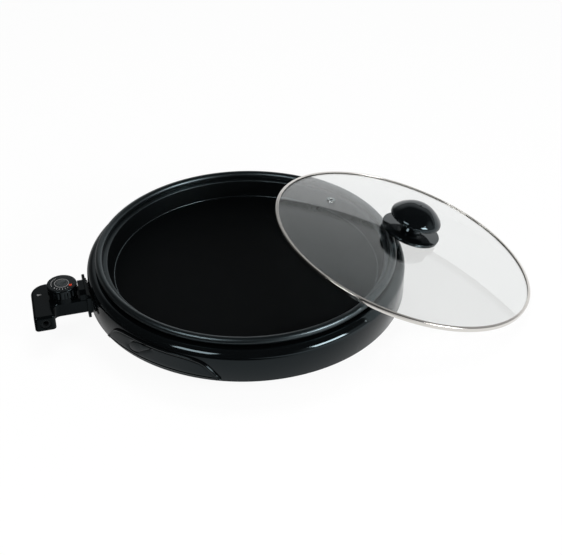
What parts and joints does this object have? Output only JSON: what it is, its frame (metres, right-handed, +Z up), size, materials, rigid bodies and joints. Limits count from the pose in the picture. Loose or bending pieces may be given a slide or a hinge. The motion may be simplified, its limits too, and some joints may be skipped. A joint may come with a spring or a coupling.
{
  "type": "electric griddle",
  "caption": "Round electric griddle pan in a black housing with a plug-in dial thermostat and a knobbed glass lid leaning on its rim, for cooking at the table.",
  "frame": {"origin": "on the table, under the middle of the round pan", "axes": "+X towards the side the lid leans on, +Y away from the front handle side, +Z up; the thermostat plugs in near -X"},
  "size_m": [0.6501, 0.4214, 0.1228],
  "materials": {
    "nonstick_pan": "satin black non-stick coating on cast aluminium",
    "element_steel": "heat-toned stainless tube",
    "contact_metal": "nickelled brass",
    "shield_steel": "aluminised sheet",
    "screw_steel": "zinc plated",
    "housing_plastic": "glossy shoulder, satin wall",
    "cover_plastic": "matte",
    "pad_rubber": "matte",
    "shell_plastic": "gloss",
    "block_ceramic": "unglazed",
    "dial_plastic": "satin with printed scale",
    "lid_glass": "clear tempered, slightly grey",
    "band_steel": "polished stainless",
    "gasket_rubber": "translucent silicone",
    "knob_plastic": "high gloss"
  },
  "bodies": {
    "base": {"griddle_pan": "nonstick_pan", "heating_element": "element_steel", "element_pins": "contact_metal", "element_clips": "shield_steel", "probe_sleeve": "element_steel", "heat_shield": "shield_steel", "pan_studs": "screw_steel", "housing_ring": "housing_plastic", "bottom_cover": "cover_plastic", "support_legs": "cover_plastic", "foot_pads": "pad_rubber", "cover_screws": "screw_steel", "handle_front": "housing_plastic", "handle_back": "housing_plastic", "handle_screws": "screw_steel", "inlet_shroud": "cover_plastic"},
    "controller": {"shell_lower": "shell_plastic", "shell_upper": "shell_plastic", "shell_screws": "screw_steel", "guard_plate": "shell_plastic", "thermostat_block": "block_ceramic", "contact_sleeves": "contact_metal", "probe_rod": "element_steel", "bimetal_blade": "contact_metal", "cord_bush": "pad_rubber"},
    "dial": {"dial": "dial_plastic", "dial_shaft": "contact_metal"},
    "lid": {"lid_glass": "lid_glass", "lid_band": "band_steel", "vent_eyelet": "band_steel", "knob_gasket": "gasket_rubber", "knob_base": "knob_plastic", "knob_cap": "knob_plastic", "knob_washer": "screw_steel", "knob_screw": "screw_steel"}
  },
  "joints": [
    {"name": "controller_pull", "type": "slide", "parent": "base", "child": "controller", "axis": [-0.9613, -0.2756, 0], "range_m": [0, 0.085]},
    {"name": "dial_turn", "type": "hinge", "parent": "controller", "child": "dial", "pos_m": [-0.22878, -0.0656, 0.065], "axis": [0, 0, 1], "range_deg": [0, 270]},
    {"name": "lid_lift", "type": "slide", "parent": "base", "child": "lid", "axis": [0, 0, 1], "range_m": [0, 0.25]}
  ]
}
